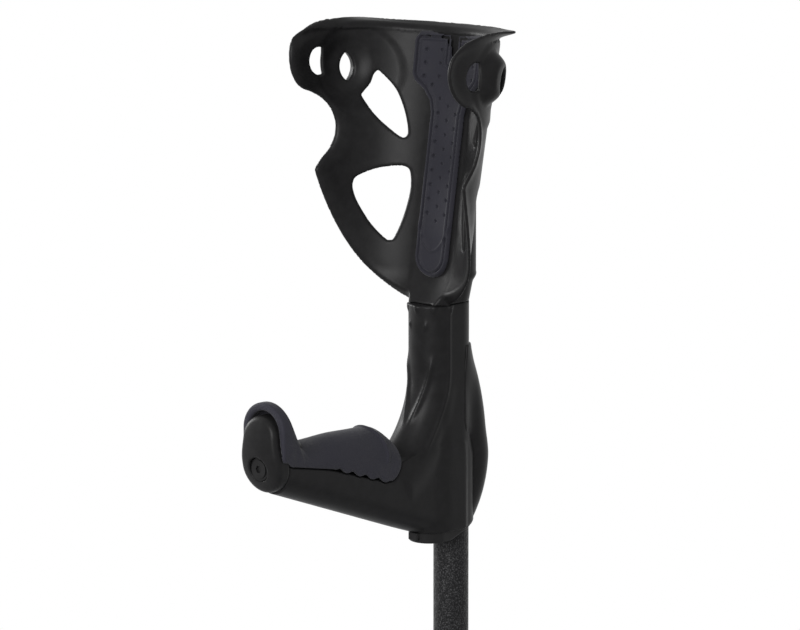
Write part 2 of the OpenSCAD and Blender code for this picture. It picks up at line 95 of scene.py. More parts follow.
def spread(tree, source, low, high, to_low, to_high):
    """Maps a value from one range to another, held at the ends."""
    n = tree.nodes.new("ShaderNodeMapRange")
    for label, value in (("From Min", low), ("From Max", high), ("To Min", to_low), ("To Max", to_high)):
        n.inputs[label].default_value = value
    tree.links.new(source, n.inputs["Value"])
    return n.outputs["Result"]


def finish_of(name, colour, rough, specular=0.5, metallic=0.0):
    """A plain material to which a finish is added; returns it, its tree, its shader and its object coordinates."""
    m = bpy.data.materials.new(name)
    m.use_nodes = True
    tree = m.node_tree
    shader = tree.nodes["Principled BSDF"]
    shader.inputs["Base Color"].default_value = (*colour, 1)
    shader.inputs["Roughness"].default_value = rough
    shader.inputs["Specular IOR Level"].default_value = specular
    shader.inputs["Metallic"].default_value = metallic
    m.diffuse_color = (*colour, 1)
    where = tree.nodes.new("ShaderNodeTexCoord").outputs["Object"]
    return m, tree, shader, where


def tinted(tree, shader, mask, low, high):
    """Base colour that goes from low to high with a mask."""
    mix = tree.nodes.new("ShaderNodeMix")
    mix.data_type = "RGBA"
    mix.inputs[6].default_value = (*low, 1)
    mix.inputs[7].default_value = (*high, 1)
    wire(tree, (mask, mix.inputs[0]), (mix.outputs[2], shader.inputs["Base Color"]))


def bumped(tree, shader, height, distance, strength=1.0, over=None):
    """Adds a bump of so many metres, on top of another bump if one is given."""
    bump = tree.nodes.new("ShaderNodeBump")
    bump.inputs["Distance"].default_value = distance
    bump.inputs["Strength"].default_value = strength
    wire(tree, (height, bump.inputs["Height"]))
    if over is not None:
        wire(tree, (over, bump.inputs["Normal"]))
    wire(tree, (bump.outputs["Normal"], shader.inputs["Normal"]))
    return bump.outputs["Normal"]


def dress(node, material):
    """Gives a carried-over solid its material."""
    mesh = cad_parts[node].data
    mesh.materials.clear()
    mesh.materials.append(material)


hammered, tree, shader, where = finish_of("hammered_black", (0.011, 0.011, 0.012), 0.34, 0.12)
cells = tree.nodes.new("ShaderNodeTexVoronoi")
cells.feature = "SMOOTH_F1"
cells.inputs["Scale"].default_value = 420
cells.inputs["Smoothness"].default_value = 0.8
swirl = noise(tree, 1300, 3, 0.6, where)
wire(tree, (where, cells.inputs["Vector"]))
# painted glints: grey flecks from a fine noise, put into the base colour where high spots would catch the light
painted_glint_flecks = spread(tree, swirl.outputs["Fac"], 0.5, 0.68, 0.0, 1.0)
tinted(tree, shader, painted_glint_flecks, (0.005, 0.005, 0.0054), (0.07, 0.07, 0.072))
wire(tree, (spread(tree, cells.outputs["Distance"], 0, 0.6, 0.26, 0.46), shader.inputs["Roughness"]))
first = bumped(tree, shader, cells.outputs["Distance"], 0.0005, 0.8)
bumped(tree, shader, swirl.outputs["Fac"], 0.00018, 0.7, first)
dress("upper_tube", hammered)

# The lower tube: 19 mm aluminium, satin anodised, drawn along its length, with
# the spring button near its top; it slides in the upper tube.
bare, tree, shader, where = finish_of("satin_aluminium", (0.58, 0.58, 0.6), 0.34, 0.5, 1.0)
stretch = tree.nodes.new("ShaderNodeMapping")
stretch.inputs["Scale"].default_value = (1, 1, 0.02)
wire(tree, (where, stretch.inputs["Vector"]))
lines = noise(tree, 2600, 2, 0.6, stretch.outputs["Vector"])
wire(tree, (spread(tree, lines.outputs["Fac"], 0.3, 0.7, 0.27, 0.42), shader.inputs["Roughness"]))
bumped(tree, shader, lines.outputs["Fac"], 0.00003, 0.5)
dress("lower_tube", bare)

# The small metal pieces: turned buttons and pins, wound springs, cut screws, the
# square post of the cuff and the washer in the foot, all of plain bright steel.
steel, tree, shader, where = finish_of("plain_steel", (0.5, 0.5, 0.51), 0.3, 0.5, 1.0)
mottle = noise(tree, 400, 3, 0.6, where)
wire(tree, (spread(tree, mottle.outputs["Fac"], 0.3, 0.7, 0.24, 0.4), shader.inputs["Roughness"]))
bumped(tree, shader, mottle.outputs["Fac"], 0.00002, 0.5)
for node in (
    "cuff_lock_button", "cuff_lock_spring", "cuff_post", "post_pin", "end_cap_screw",
    "tube_screws", "leg_lock_button", "leg_lock_spring", "ferrule_washer",
):
    dress(node, steel)

# The ferrule: moulded natural rubber, matt and a little dusty, pushed onto the
# lower tube over a steel washer.
rubber, tree, shader, where = finish_of("matt_rubber", (0.014, 0.014, 0.014), 0.78, 0.3)
grain = noise(tree, 1500, 3, 0.6, where)
patch = noise(tree, 45, 3, 0.6, where)
dusty = spread(tree, patch.outputs["Fac"], 0.45, 0.75, 0, 1)
tinted(tree, shader, dusty, (0.013, 0.013, 0.013), (0.03, 0.029, 0.027))
wire(tree, (spread(tree, grain.outputs["Fac"], 0.3, 0.7, 0.7, 0.88), shader.inputs["Roughness"]))
bumped(tree, shader, grain.outputs["Fac"], 0.00012, 0.5)
dress("ferrule", rubber)

# The small hard mouldings: satin black nylon with the fine texture of the mould and
# soft waves where the wall cooled. The guide, the collar and the foot plug are pushed
# into or onto the tubes, and the smooth round plug into the end cap.
moulded_skin, at, out = node_group(
    "moulded_skin",
    [("NodeSocketVector", "Vector", None), ("NodeSocketFloat", "Grain", 1700.0),
     ("NodeSocketFloat", "Depth", 0.00006), ("NodeSocketFloat", "Low", 0.36), ("NodeSocketFloat", "High", 0.5)],
    [("NodeSocketFloat", "Roughness"), ("NodeSocketVector", "Normal"), ("NodeSocketFloat", "Bloom")],
)
fine = noise(moulded_skin, 1700, 2, 0.6)
broad = noise(moulded_skin, 38, 2, 0.5)
wear = noise(moulded_skin, 150, 4, 0.65)
ramp = moulded_skin.nodes.new("ShaderNodeMapRange")
ramp.inputs["From Min"].default_value = 0.3
ramp.inputs["From Max"].default_value = 0.7
wave = moulded_skin.nodes.new("ShaderNodeBump")
wave.inputs["Distance"].default_value = 0.0006
wave.inputs["Strength"].default_value = 0.25
pits = moulded_skin.nodes.new("ShaderNodeBump")
pits.inputs["Strength"].default_value = 0.6
wire(
    moulded_skin,
    (at.outputs["Vector"], fine.inputs["Vector"]), (at.outputs["Vector"], broad.inputs["Vector"]),
    (at.outputs["Vector"], wear.inputs["Vector"]), (at.outputs["Grain"], fine.inputs["Scale"]),
    (wear.outputs["Fac"], ramp.inputs["Value"]), (at.outputs["Low"], ramp.inputs["To Min"]),
    (at.outputs["High"], ramp.inputs["To Max"]), (ramp.outputs["Result"], out.inputs["Roughness"]),
    (broad.outputs["Fac"], wave.inputs["Height"]), (wave.outputs["Normal"], pits.inputs["Normal"]),
    (fine.outputs["Fac"], pits.inputs["Height"]), (at.outputs["Depth"], pits.inputs["Distance"]),
    (pits.outputs["Normal"], out.inputs["Normal"]), (wear.outputs["Fac"], out.inputs["Bloom"]),
)


def moulded(name, colour, low, high, specular, grain=1700.0, depth=0.00006):
    """A moulded plastic: the skin above with its own grain, and a faint bloom in its colour."""
    m, tree, shader, where = finish_of(name, colour, low, specular)
    mould = tree.nodes.new("ShaderNodeGroup")
    mould.node_tree = moulded_skin
    for label, value in (("Grain", grain), ("Depth", depth), ("Low", low), ("High", high)):
        mould.inputs[label].default_value = value
    wire(tree, (where, mould.inputs["Vector"]), (mould.outputs["Roughness"], shader.inputs["Roughness"]),
         (mould.outputs["Normal"], shader.inputs["Normal"]))
    tinted(tree, shader, spread(tree, mould.outputs["Bloom"], 0.4, 0.7, 0, 1), colour,
           tuple(c * 1.25 + 0.001 for c in colour))
    return m


black_nylon = moulded("black_nylon", (0.0085, 0.0083, 0.0086), 0.34, 0.42, 0.09)
smooth_nylon = moulded("smooth_black_nylon", (0.009, 0.0088, 0.0091), 0.28, 0.36, 0.12, 1200.0, 0.00003)
for node in ("lower_tube_guide", "lower_end_plug", "quiet_collar"):
    dress(node, black_nylon)
dress("end_cap_plug", smooth_nylon)

# The handle: neck, elbow, beam and tube socket in one hollow black moulding, screwed
# to the tube. Its forms are distances in millimetres, 0 on the surface and negative
# inside; heights are above the socket's mouth, and fillets join the neighbours.
socket = 760.0
body_foot, body_top = 11.6, 151.8
neck_rear, neck_front, neck_r = -6, -16.7, 15
elbow_y, elbow_z, elbow_ring = -92, 112, 75
beam_fall = math.radians(20.4)
bulge_r = 10.4
pad_in, pad_out = 12.4, 16.4
tube_bore, beam_bore = 11.25, 7.5
post_half_x, post_half_y = 8.4, 4.9
screw_heights = (29, 48)


def soft_min(a, b, k):
    """The lower of two distances, less (k - |a - b|) squared over 4k where they are closer than k."""
    h = np.maximum(k - np.abs(a - b), 0)
    return np.minimum(a, b) - h * h / (4 * k)


def soft_max(a, b, k):
    """The higher of two distances, with an edge rounded about k wide."""
    return -soft_min(-a, -b, k)


def smooth(t):
    """From 0 to 1 without a corner: 3t squared less 2t cubed, held at the ends."""
    t = np.clip(t, 0, 1)
    return t * t * (3 - 2 * t)


def mound(distance, width=1.0):
    """A round swell of height 1: the exponential of minus the square of distance over width."""
    return np.exp(-((distance / width) ** 2))


def stadium(x, y, y_back, y_front, r):
    """Distance to an upright column with round ends: from the nearest point of its middle line, less r."""
    return np.hypot(x, y - np.clip(y, y_front, y_back)) - r


def slab(v, low, high):
    """Distance to the space between two parallel faces."""
    return np.abs(v - (low + high) / 2) - (high - low) / 2


def bar(x, y, z, a, b, r):
    """Distance to a round bar from a to b in the middle plane."""
    ay, az = a
    dy, dz = b[0] - ay, b[1] - az
    s = np.clip(((y - ay) * dy + (z - az) * dz) / (dy * dy + dz * dz), 0, 1)
    return np.sqrt(x * x + (y - ay - s * dy) ** 2 + (z - az - s * dz) ** 2) - r


def bend(x, y, z, cy, cz, ring, r):
    """Distance to a round bar bent to a ring in the middle plane."""
    return np.hypot(x, np.hypot(y - cy, z - cz) - ring) - r


def outline(points, step=0.5, room=14):
    """Distance to a closed flat outline, from a table: to its nearest edge, negative inside."""
    p = np.array(points, float)
    low, high = p.min(0) - room, p.max(0) + room
    n = np.ceil((high - low) / step).astype(int) + 1
    u, v = np.meshgrid(low[0] + step * np.arange(n[0]), low[1] + step * np.arange(n[1]), indexing="ij")
    near = np.full(u.shape, 1e9)
    inside = np.zeros(u.shape, bool)
    for (ax, ay), (bx, by) in zip(p, np.roll(p, -1, 0)):
        dx, dy = bx - ax, by - ay
        s = np.clip(((u - ax) * dx + (v - ay) * dy) / (dx * dx + dy * dy), 0, 1)
        near = np.minimum(near, (u - ax - s * dx) ** 2 + (v - ay - s * dy) ** 2)
        if ay != by:
            inside ^= ((ay > v) != (by > v)) & (u < dx * (v - ay) / dy + ax)
    table = np.sqrt(near) * np.where(inside, -1, 1)

    def distance(a, b):
        i = np.clip((a - low[0]) / step, 0, n[0] - 1.001)
        j = np.clip((b - low[1]) / step, 0, n[1] - 1.001)
        i0, j0 = i.astype(int), j.astype(int)
        i, j = i - i0, j - j0
        flat = (table[i0, j0] * (1 - i) + table[i0 + 1, j0] * i) * (1 - j) + (
            table[i0, j0 + 1] * (1 - i) + table[i0 + 1, j0 + 1] * i
        ) * j
        past_a = np.maximum(np.maximum(low[0] - a, a - low[0] - step * (n[0] - 1)), 0)
        past_b = np.maximum(np.maximum(low[1] - b, b - low[1] - step * (n[1] - 1)), 0)
        return flat + np.hypot(past_a, past_b) * 0.7

    return distance


def rounded(points, turns=4):
    """A closed line through its corner points: each step is the cubic that leaves and meets them smoothly."""
    b = np.array(points, float)
    a, c, d = np.roll(b, 1, 0), np.roll(b, -1, 0), np.roll(b, -2, 0)
    t = (np.arange(turns) / turns)[None, :, None]
    a, b, c, d = (q[:, None, :] for q in (a, b, c, d))
    line = 0.5 * (2 * b + (c - a) * t + (2 * a - 5 * b + 4 * c - d) * t**2 + (3 * b - a - 3 * c + d) * t**3)
    return line.reshape(-1, 2)


def skin(name, field, low, high, step, base, material):
    """The surface where field(x, y, z) is 0, in millimetres above base: one point in each cell that the surface
    crosses, moved along the slope until the field is 0 there, and a face round each crossed edge."""
    low, high = np.array(low, float), np.array(high, float)
    # blocks of cells are looked at first, and only those near the surface are worked out cell by cell
    across, reach, far_off = 4, 1.35, 1e3
    blocks = np.ceil((high - low) / (across * step)).astype(int)
    n = blocks * across
    centre = np.meshgrid(*(low[k] + across * step * (np.arange(blocks[k]) + 0.5) for k in range(3)), indexing="ij")
    rough = field(*(c.ravel() for c in centre)).reshape(blocks)
    fill = np.ones((across,) * 3)
    value = np.pad(np.kron(np.sign(rough) * far_off, fill), ((0, 1),) * 3, mode="edge")
    near = np.kron(np.abs(rough) < across * step * reach, fill) > 0
    wanted = np.zeros(n + 1, bool)
    for i in (0, 1):
        for j in (0, 1):
            for k in (0, 1):
                wanted[i:i + n[0], j:j + n[1], k:k + n[2]] |= near
    index = np.nonzero(wanted)
    value[index] = field(*(low[k] + step * index[k] for k in range(3)))
    inside = value < 0
    # the mean of the crossings on each cell's edges, and a face round each crossed edge
    total = np.zeros((int(np.prod(n)), 3))
    count = np.zeros(int(np.prod(n)))
    quads = []
    for axis in range(3):
        one, two = (axis + 1) % 3, (axis + 2) % 3
        lower = [slice(0, n[k] + 1) for k in range(3)]
        upper = list(lower)
        lower[axis], upper[axis] = slice(0, n[axis]), slice(1, n[axis] + 1)
        a, b = inside[tuple(lower)], inside[tuple(upper)]
        cut = np.array(np.nonzero(a != b))
        cut = cut[:, (cut[one] > 0) & (cut[two] > 0) & (cut[one] < n[one]) & (cut[two] < n[two])]
        begin = tuple(cut)
        end = list(cut)
        end[axis] = cut[axis] + 1
        va, vb = value[begin], value[tuple(end)]
        point = cut.astype(float)
        point[axis] += va / (va - vb)
        cells = []
        for d1, d2 in ((0, 0), (-1, 0), (-1, -1), (0, -1)):
            cell = list(cut)
            cell[one] = cut[one] + d1
            cell[two] = cut[two] + d2
            cell = np.ravel_multi_index(cell, n)
            cells.append(cell)
            for k in range(3):
                total[:, k] += np.bincount(cell, point[k], len(count))
            count += np.bincount(cell, minlength=len(count))
        quad = np.stack(cells, 1)
        turned = ~inside[begin]
        quad[turned] = quad[turned][:, ::-1]
        quads.append(quad)
    quads = np.concatenate(quads)
    used, quads = np.unique(quads, return_inverse=True)
    quads = quads.reshape(-1, 4)
    p = (total[used] / count[used][:, None]) * step + low
    # each point goes to the surface, at most 0.4 of a cell at a time and 0.75 of a cell in all
    probe, rounds, stride, leash = 0.12, 4, 0.4, 0.75
    start = p.copy()
    for _ in range(rounds):
        f = field(*p.T)
        slope = np.empty_like(p)
        for k in range(3):
            e = np.zeros(3)
            e[k] = probe
            slope[:, k] = (field(*(p + e).T) - field(*(p - e).T)) / (2 * probe)
        steep = np.maximum((slope**2).sum(1), 0.04)
        move = -(f / steep)[:, None] * slope
        far = np.linalg.norm(move, axis=1)
        p += move * np.minimum(1, stride * step / np.maximum(far, 1e-9))[:, None]
    p = start + np.clip(p - start, -leash * step, leash * step)
    p[:, 2] += base
    return solid_of(name, p / 1000, quads, material)


def solid_of(name, points, quads, material):
    """A smooth-shaded piece from corner points in metres and four-sided faces."""
    mesh = bpy.data.meshes.new(name)
    mesh.vertices.add(len(points))
    mesh.vertices.foreach_set("co", np.asarray(points, np.float32).ravel())
    mesh.loops.add(quads.size)
    mesh.loops.foreach_set("vertex_index", quads.astype(np.int32).ravel())
    mesh.polygons.add(len(quads))
    mesh.polygons.foreach_set("loop_start", np.arange(0, quads.size, 4, dtype=np.int32))
    mesh.polygons.foreach_set("use_smooth", np.ones(len(quads), bool))
    mesh.update()
    mesh.validate()
    mesh.materials.append(material)
    piece = bpy.data.objects.new(name, mesh)
    bpy.context.scene.collection.objects.link(piece)
    return piece


# side views of the beam and of the bulge behind the tube, as (y, z)
beam_side = outline([
    (-6, 11.2), (-40, 11.2), (-165, 50.6), (-165, 79), (-152, 75.5), (-73.5, 50.8), (-70, 51.4),
    (-67, 53.6), (-62, 60), (-50, 62), (-6, 62),
])
bulge_side = outline([(-4, 13), (15, 13), (28.7, 34.3), (45, 50), (45, 117.7), (-4, 117.7)])
# the rods of the core under the grip pad: from, to and radius
grip_core = (
    ((-84, 67.2), (-170, 67.2), 11.8),
    ((-86, 67.6), (-58, 53.4), 11.4),
    ((-146, 77), (-170, 77), 11.1),
    ((-153, 88.4), (-170, 88.4), 10.7),
)


def rear_bow(x, y, z, r):
    """Distance to the bowed bar behind the tube: a long flat bend above its widest height and a rounder one below,
    eased 1.2 towards the tube high up and 0.8 away from it low down."""
    widest = 54.5
    y = y - 0.8 + 2.0 * smooth((z - 50) / 22)
    return np.where(z > widest, bend(x, y, z, -124.3, widest, 139, r), bend(x, y, z, -42, widest, 56.7, r))


def taper(z):
    """How much narrower the tube part is: nothing up to 52, then a smooth step to 2.8 at 70."""
    return 2.8 * smooth((z - 52) / 18)


def pad_top(y):
    """Height of the grip pad's top: down 13 to the neck behind, up 27 to the front bump."""
    middle = 83.6 + 0.9 * mound(y + 108, 16)
    return middle - 13 * smooth((y + 78) / 25) + 26.9 * smooth((-y - 140.8) / 19)


def pad_low(y):
    """Height of the pad's lower edge: up along the beam, with scallops in its rear half."""
    a = -70 - y
    line = 49.6 + 0.335 * np.maximum(a, 0) - 0.135 * np.maximum(a - 48, 0)
    scallop = 0.9 * np.cos(2 * np.pi * a / 11.2) * smooth((52 - a) / 8) * smooth((a + 2) / 6)
    return line + scallop


def pad_arch(x, y, z):
    """The pad's section: how far out a point lies, pad_in inside and pad_out outside, and how high in the arch."""
    middle = np.maximum(pad_top(y) - pad_out, pad_low(y) + 0.5)
    tall = np.maximum(pad_top(y) - middle, 4)
    rise = np.maximum(z - middle, 0)
    return np.hypot(x, rise * pad_out / tall), rise / tall


def pad_end(y, z):
    """Distance past the pad's lower edge, 2 higher where it hoods the end cap, or past its well rounded rear end."""
    return soft_max((pad_low(y) + 2 * smooth((-y - 155) / 6) - z) * 0.9, y + 60.8, 14)


def handle_form(x, y, z):
    """Neck with its teeth and ridges, socket, elbow, beam, grip core and bulge, joined softly, less the pad's room
    and the bores."""
    # the turn about the middle line of neck and elbow, 0 in front and 90 at the side
    around = np.hypot(y - elbow_y, z - elbow_z)
    turn = np.degrees(np.arctan2(np.abs(x), np.where(z > elbow_z, -17 - y, elbow_ring - around)))
    # a slanting ridge on each side, a crest behind it, teeth every 45 degrees and a drop below them
    ridge = mound((turn - 40 + 0.84 * (117 - z)) * 0.14) * smooth((z - 75) / 14) * smooth((124 - z) / 12)
    crest = mound((turn - 85 + 9 * smooth((112 - z) / 40)) * 0.2) * smooth((z - 58) / 12)
    tooth = np.clip(0.4 * (z - 145.2) - np.abs(turn - 45 * np.clip(np.round(turn / 45), 0, 2)) * 0.262, 0, 1)
    drop = np.exp(-(((turn - 25) * 0.2) ** 2) - ((z - 139.5) / 2.4) ** 2)
    raised = soft_max(1.5 * ridge, 0.9 * crest, 0.4) + 0.9 * tooth + 0.9 * drop
    neck = soft_max(stadium(x, y, neck_rear, neck_front, neck_r) - raised, slab(z, body_foot, body_top), 0.4)
    tube_part = stadium(x, y, 0, -16.2, 13.8) + taper(z)
    tube_part = soft_max(tube_part, slab(z, body_foot, 72), 2)
    elbow = bend(x, y, z, elbow_y, elbow_z, elbow_ring, 14.95) - raised + 2.6 * smooth((z - 97) / 15)
    elbow = soft_max(soft_max(elbow, z - 114, 1), (y - elbow_y) * -0.866 - (z - elbow_z) * 0.5, 2)
    down = (y + 16) * math.sin(beam_fall) + (z - 18.5) * math.cos(beam_fall)
    beam = np.where(down < 0, np.hypot(x, down), np.abs(x)) - 14.9
    beam = soft_max(beam, beam_side(y, z), 1.6)
    core = np.minimum.reduce([bar(x, y, z, a, b, r) for a, b, r in grip_core])
    bulge = soft_max(rear_bow(x, y, z, bulge_r), bulge_side(y, z), 1.5)
    f = soft_min(neck, tube_part, 5)
    f = soft_min(f, elbow, 2.2)
    f = soft_min(f, beam, 6)
    f = soft_max(f, -np.maximum(12.05 - pad_arch(x, y, z)[0], pad_end(y, z) - 0.35), 0.5)
    f = np.minimum(f, core)
    f = soft_min(f, bulge, 1.5)
    f = np.maximum(f, -158 - y)
    # the tube's bore with the screws' holes and head recesses, the post's pocket and the hollow beam
    bore = np.maximum(np.hypot(x, y) - tube_bore, z - 63)
    for height in screw_heights:
        beside = np.hypot(x, z - height)
        bore = np.minimum(bore, np.maximum(beside - 4.2, 14.3 - y))
        bore = np.minimum(bore, np.maximum(beside - 2.1, 5 - y))
    f = np.maximum(f, -bore)
    pocket = np.maximum(slab(x, -post_half_x, post_half_x), slab(y, -post_half_y, post_half_y))
    f = np.maximum(f, -np.maximum(pocket, 124.5 - z))
    return np.maximum(f, -bar(x, y, z, (-84, 44.5), (-175, 78.3), beam_bore))


handle = skin("handle_moulding", handle_form, (-18, -160, 8), (18, 20, 154), 1.1, socket, black_nylon)
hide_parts("handle_body")
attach(handle, "handle")

# The rear cover: a thin bowed moulding of the same black nylon, pressed onto the
# bulge behind the socket, where it hides the tube screws.
cover_r, cover_room = 13, 10.7
cover_side = outline([
    (-1, 13), (16.4, 13), (31, 34), (45, 49), (45, 125), (-2, 125), (-4.4, 108), (-4.4, 78), (-1, 60),
])


def cover_form(x, y, z):
    """A wall on the bulge: its bowed bar run out onto the neck, less the bar under it, within the side outline."""
    hug = stadium(x, y, neck_rear, -17, 15.6) + 4 * smooth((74 - z) / 20)
    f = soft_max(soft_min(rear_bow(x, y, z, cover_r), hug, 5), cover_side(y, z), 1.0)
    f = soft_max(f, -rear_bow(x, y, z, cover_room), 0.4)
    tube_side = 13.2 - taper(z) - np.hypot(x, y)
    return soft_max(f, np.maximum(tube_side, 13.6 - stadium(x, y, neck_rear, -17, 0)), 0.3)


cover = skin("rear_cover_skin", cover_form, (-18, -7, 10), (18, 32, 129), 0.9, socket, black_nylon)
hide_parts("rear_cover")
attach(cover, "handle")

# The socket ring: a thin moulding of smooth black nylon, slipped over the tube up to
# the handle's mouth, with a latch at the front.
ring_low, ring_slope = 3, math.radians(19)
latch_half = 3.5


def ring_form(x, y, z):
    """A stadium plate with a slanting underside, a tongue and its hook, less the tube's bore."""
    f = soft_max(stadium(x, y, 0, -20, 12.9), slab(z, ring_low, 11.3), 1.2)
    f = soft_max(f, (y + 14) * math.sin(ring_slope) - (z - ring_low) * math.cos(ring_slope), 0.8)
    wide = slab(x, -latch_half, latch_half)
    tongue = np.maximum(np.maximum(wide, slab(y, -34, -30)), slab(z, 7, 10))
    hook = np.maximum(np.maximum(wide, slab(y, -35.5, -33.1)), slab(z, 5.2, 10))
    f = soft_min(f, soft_min(tongue, hook, 0.6), 0.6)
    return np.maximum(f, tube_bore - np.hypot(x, y))


ring = skin("socket_ring_skin", ring_form, (-16, -38, 0), (16, 16, 13), 0.7, socket, smooth_nylon)
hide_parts("socket_ring")
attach(ring, "handle")

# The end cap: an upright crowned nylon moulding that closes the front of the handle,
# held by one screw on the axis of its rod, with a sunk round plug over that screw.
cap_low, cap_high, cap_r = 72.4, 90.4, 15.4
cap_back, cap_screw_z = 158.3, 72
ball_y, ball_z, ball_r = -108.6, 84, 62.4


def cap_side(x, z):
    """Distance to the cap's outline in front view: a stadium 2 narrower at each side above."""
    return np.hypot(x, z - np.clip(z, cap_low, cap_high)) - cap_r + 2.0 * smooth((z - 76) / 16)


def cap_crown(x, y, z):
    """The outline carried forward and cut by a large ball."""
    return soft_max(cap_side(x, z), np.sqrt(x * x + (y - ball_y) ** 2 + (z - ball_z) ** 2) - ball_r, 3.4)


def cap_form(x, y, z):
    """The crowned stadium with a flat back and its rod, less the plug's recess."""
    f = soft_max(cap_crown(x, y, z), y + cap_back, 0.8)
    beside = np.hypot(x, z - cap_screw_z)
    f = np.minimum(f, soft_max(beside - 3.6, slab(y, -160, -149.5), 0.5))
    f = soft_max(f, -np.maximum(beside - 7.3, y + 166.3), 0.7)
    return np.maximum(f, 2.2 - beside)


cap = skin("end_cap_skin", cap_form, (-17, -172, 55), (17, -147, 109), 0.8, socket, black_nylon)
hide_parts("end_cap")
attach(cap, "handle")

# The grip pad: soft slate-grey rubber, moulded over the core like a saddle, with a
# raised front bump that hoods the end cap and a scalloped lower edge.
soft_grain, at, out = node_group(
    "soft_grain",
    [("NodeSocketVector", "Vector", None), ("NodeSocketFloat", "Grain", 1300.0),
     ("NodeSocketFloat", "Depth", 0.0002)],
    [("NodeSocketFloat", "Mask"), ("NodeSocketFloat", "Roughness"), ("NodeSocketVector", "Normal")],
)
pebble = soft_grain.nodes.new("ShaderNodeTexVoronoi")
pebble.feature = "SMOOTH_F1"
pebble.inputs["Smoothness"].default_value = 0.6
mist = noise(soft_grain, 60, 4, 0.6)
grit = noise(soft_grain, 2600, 2, 0.7)
dull = spread(soft_grain, mist.outputs["Fac"], 0.3, 0.7, 0.58, 0.8)
lumps = soft_grain.nodes.new("ShaderNodeBump")
lumps.inputs["Strength"].default_value = 0.7
specks = soft_grain.nodes.new("ShaderNodeBump")
specks.inputs["Distance"].default_value = 0.00006
specks.inputs["Strength"].default_value = 0.5
wire(
    soft_grain,
    (at.outputs["Vector"], pebble.inputs["Vector"]), (at.outputs["Grain"], pebble.inputs["Scale"]),
    (at.outputs["Vector"], mist.inputs["Vector"]), (at.outputs["Vector"], grit.inputs["Vector"]),
    (pebble.outputs["Distance"], lumps.inputs["Height"]), (at.outputs["Depth"], lumps.inputs["Distance"]),
    (lumps.outputs["Normal"], specks.inputs["Normal"]), (grit.outputs["Fac"], specks.inputs["Height"]),
    (specks.outputs["Normal"], out.inputs["Normal"]), (mist.outputs["Fac"], out.inputs["Mask"]),
    (dull, out.inputs["Roughness"]),
)


def slate(name, grain, depth, light):
    """The slate-grey soft skin of the pads, with its own size of grain, and its colour scaled by light, a factor of
    painted light or shade for each pad.
    """
    m, tree, shader, where = finish_of(name, (0.018, 0.0175, 0.0243), 0.7, 0.15)
    shader.inputs["Sheen Weight"].default_value = 0.08
    shader.inputs["Sheen Roughness"].default_value = 0.5
    skin_of = tree.nodes.new("ShaderNodeGroup")
    skin_of.node_tree = soft_grain
    skin_of.inputs["Grain"].default_value = grain
    skin_of.inputs["Depth"].default_value = depth
    wire(tree, (where, skin_of.inputs["Vector"]), (skin_of.outputs["Roughness"], shader.inputs["Roughness"]),
         (skin_of.outputs["Normal"], shader.inputs["Normal"]))
    # both ends of the tint are scaled by light: painted light or shade, lighter on the grip pad and darker on the
    # cuff pad
    tinted(tree, shader, spread(tree, skin_of.outputs["Mask"], 0.35, 0.7, 0, 1),
           (0.0155 * light, 0.0151 * light, 0.0208 * light), (0.0205 * light, 0.02 * light, 0.0272 * light))
    return m


# the grip pad's slate is painted 1.15 times lighter: painted light
grip_slate_painted_lighter = slate("grip_slate_painted_lighter", 1300.0, 0.0003, 1.15)


def grip_form(x, y, z):
    """The arch between pad_in and pad_out, with a bead across its rear, ended by pad_end, and flared by 0.8 into a
    hood that lies on the end cap's crown."""
    around, high = pad_arch(x, y, z)
    steep = pad_top(y + 0.5) - pad_top(y - 0.5)
    slant = 1 / np.sqrt(1 + (steep * high) ** 2)
    bead = mound(y + 74.5 + 4 * ((z - 67) / 16) ** 2, 1.3) * smooth((z - 60) / 6)
    flare = 0.8 * smooth((-y - 152) / 6)
    f = soft_max((around - pad_out - flare) * slant - bead, (pad_in - around) * slant, 1.6)
    f = soft_max(f, pad_end(y, z), 2.6)
    f = soft_max(f, -164.8 - y, 1.8)
    return soft_max(f, -np.maximum(cap_crown(x, y, z) - 0.3, y + 158), 0.3)


grip = skin("grip_cushion", grip_form, (-19, -167, 46), (19, -58, 114), 0.7, socket, grip_slate_painted_lighter)
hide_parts("grip_pad")
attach(grip, "handle")

# The cuff: one open shell moulding of satin black nylon with two wings, a flared rim
# and a sleeve that slides over the post. Its heights count from 917 mm above the
# floor, which is 5 mm over its lower end when the cuff is right down.
cuff_zero = 917.0
lean = math.radians(5.5)
cone_y, cone_in, cone_out, cone_rise = 73.1, 53.3, 56.4, 0.065
rim_half, curl = 1.6, 3.75
lobe_y, lobe_s, lobe_cos, lobe_sin = 30, 59.6, 0.906, 0.423
lock_hole_r, lock_pitch = 3.15, 10
# circles in side view, as (y, z, radius)
free_edge, lobe_edge, waist = (199.8, 147.1, 267), (-52.4, 145.3, 22.3), (-62, 102.3, 21.3)
front_hole = (-50.3, 141.9, 8.4)
# the windows as they are seen square to the wing, then the waist's corner and the sleeve in side view
upper_window = outline(rounded([
    (-48, 131.4), (-46.2, 133.7), (-43.8, 133.2), (-34.2, 122.8), (-29.1, 110.5), (-26.9, 99),
    (-27.8, 94.6), (-32, 94.6), (-45.6, 105.9), (-54.6, 118), (-54.4, 121), (-50, 126.3),
]))
lower_window = outline(rounded([
    (-60.4, 66.8), (-57.8, 70.2), (-46.5, 74.4), (-34, 76.2), (-27.2, 75.4), (-25.2, 71.2), (-25.5, 61),
    (-29.7, 45.4), (-35, 33.2), (-37.6, 31), (-41, 32.2), (-49.6, 41), (-57.4, 53.6), (-60.5, 62),
]))
waist_corner = outline([(-46.4, 88.6), (-57.2, 76.5), (-80, 70), (-80, 103), (-62, 103)])
sleeve_side = outline([(-40, 0), (16, 0), (16, 60), (12, 76), (3, 108), (-40, 108)])
side_turn = math.radians(42)
lock_heights = 5


